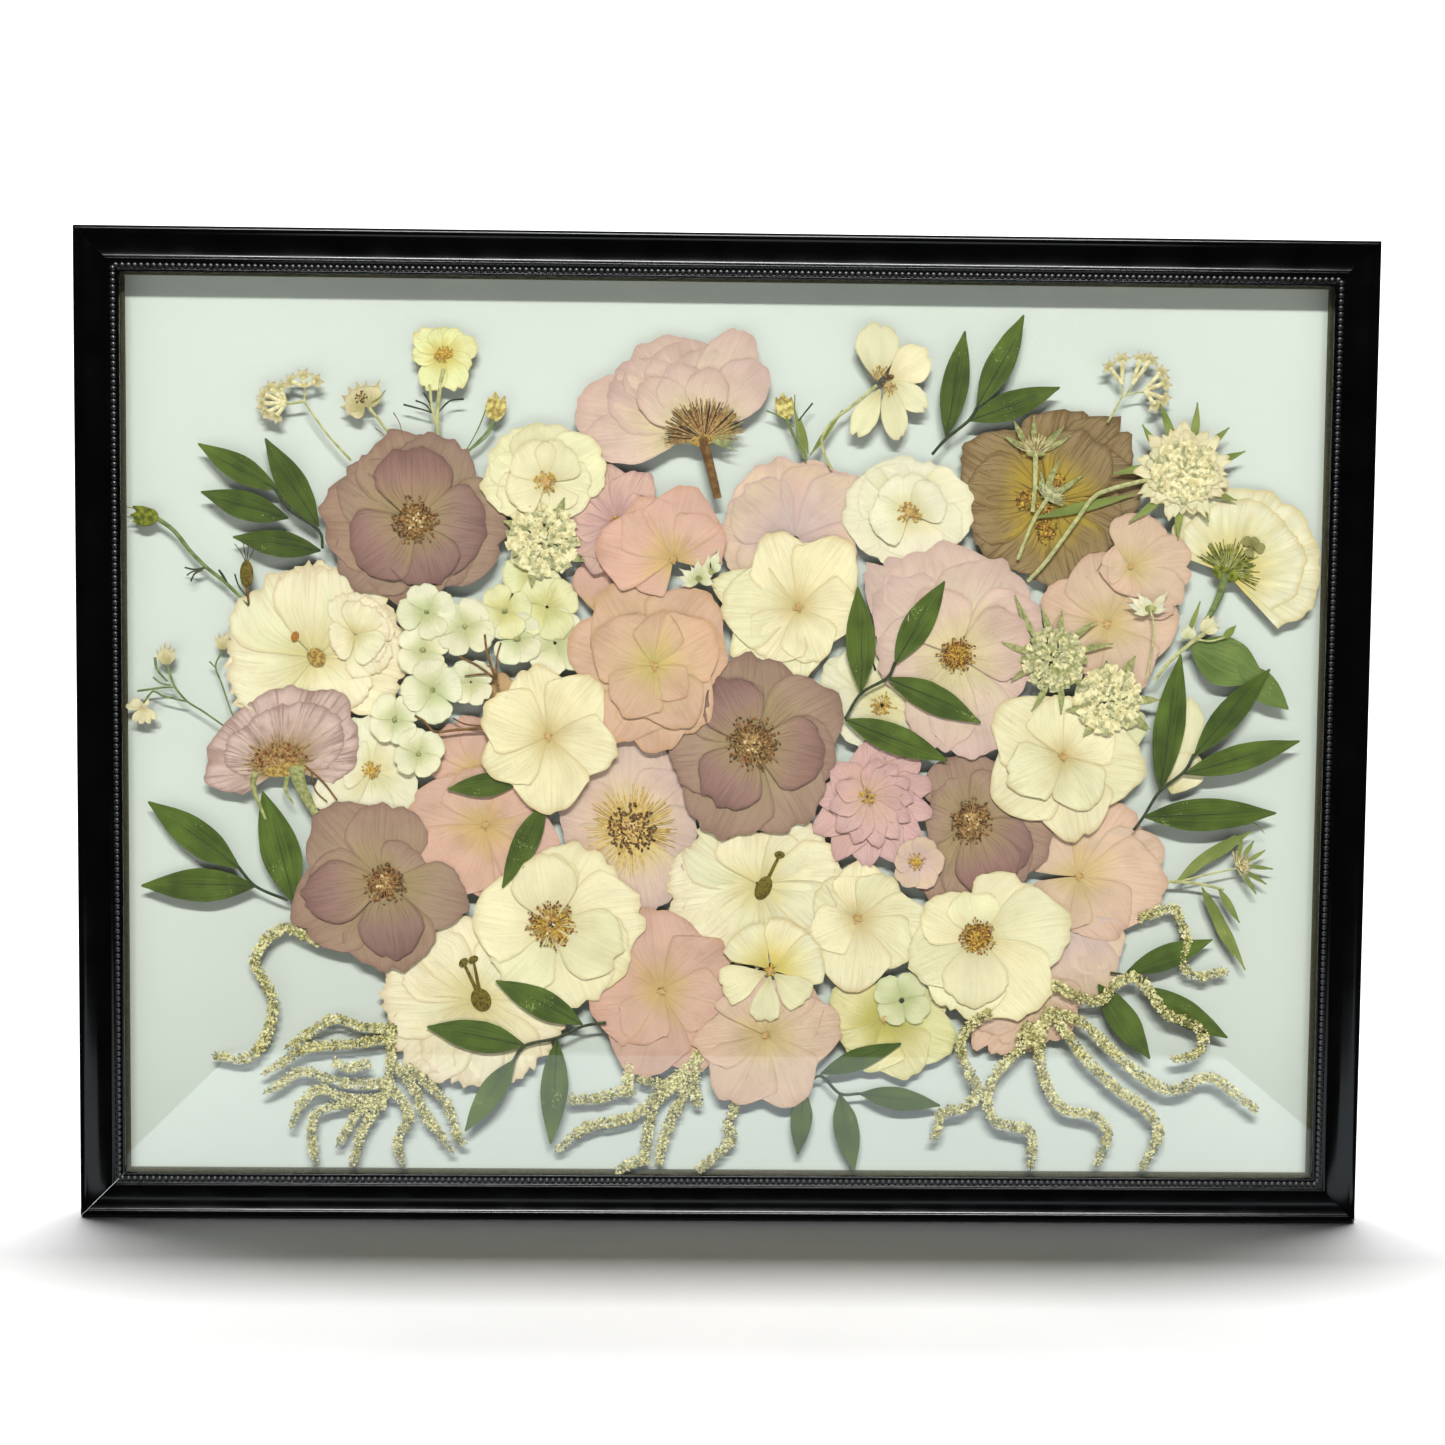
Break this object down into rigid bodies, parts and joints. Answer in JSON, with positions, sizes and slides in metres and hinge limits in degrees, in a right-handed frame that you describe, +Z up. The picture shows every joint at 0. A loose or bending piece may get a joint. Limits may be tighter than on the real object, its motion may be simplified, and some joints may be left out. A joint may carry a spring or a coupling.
{
  "type": "pressed flower frame",
  "caption": "Wide black beaded picture frame holding pressed roses, hydrangea, lisianthus, ruscus leaves and amaranth tails between glass, clear of a white board.",
  "frame": {"origin": "middle of the sawtooth hanger's teeth on the back plane, 11 mm below the frame's top edge", "axes": "+X to the right seen from the front and along the long rails, +Z up, the front with the flowers faces -Y and +Y points into the wall"},
  "size_m": [0.6468, 0.024, 0.4948],
  "materials": {
    "moulding": "satin black lacquer over a beaded wood or MDF moulding",
    "glass": "clear picture glass",
    "board": "matt white backing board",
    "spacer": "matt black spacer strip",
    "steel": "plated steel",
    "petal_mauve": "dry mauve and tan rose petal",
    "petal_tan": "dry tan rose petal",
    "petal_pink": "dry pink petal",
    "petal_lilac": "dry lilac-pink petal",
    "petal_cream": "dry cream petal",
    "leaf": "dry dark green leaf",
    "seed_head": "dry yellow-green seed head"
  },
  "bodies": {
    "root": {"rail_top": "moulding", "rail_bottom": "moulding", "rail_left": "moulding", "rail_right": "moulding", "glass_front": "glass", "glass_back": "glass", "backing_board": "board", "spacer_left": "spacer", "spacer_right": "spacer", "spacer_bottom": "spacer", "spacer_top": "spacer", "sawtooth_hanger": "steel", "rose_upper_left": "petal_mauve", "rose_centre": "petal_mauve", "rose_right": "petal_mauve", "rose_lower_left": "petal_mauve", "rose_tan": "petal_tan", "rose_pink": "petal_pink", "rose_lilac": "petal_lilac", "rose_pale_pink": "petal_lilac", "rose_cream_top": "petal_cream", "rose_white_top": "petal_cream", "rose_white_hidden": "petal_cream", "rose_cream_middle": "petal_cream", "rose_cream_right": "petal_cream", "small_white_left": "petal_cream", "lisianthus_left": "petal_cream", "lisianthus_middle": "petal_cream", "lisianthus_lower": "petal_cream", "pink_upper": "petal_pink", "peach_double": "petal_pink", "pink_right_large": "petal_pink", "pink_lower_right": "petal_pink", "pink_left": "petal_pink", "pink_low_left": "petal_pink", "pink_low_right": "petal_pink", "cream_top": "petal_cream", "cream_left": "petal_cream", "cream_right": "petal_cream", "cream_low": "petal_cream", "lilac_small": "petal_lilac", "pink_dahlia": "petal_lilac", "yellow_five": "petal_cream", "green_cream": "petal_cream", "ranunculus_side": "petal_lilac", "carnation_side": "petal_lilac", "fan_flower": "petal_cream", "scabious_large": "petal_cream", "scabious_grey": "seed_head", "scabious_cream_right": "petal_cream", "ruscus_upper_left": "leaf", "ruscus_top": "leaf", "ruscus_centre": "leaf", "ruscus_right": "leaf", "ruscus_left": "leaf", "ruscus_lower_left": "leaf", "ruscus_low_middle": "leaf", "amaranth_left": "seed_head", "amaranth_middle": "seed_head", "amaranth_right": "seed_head"}
  },
  "joints": []
}
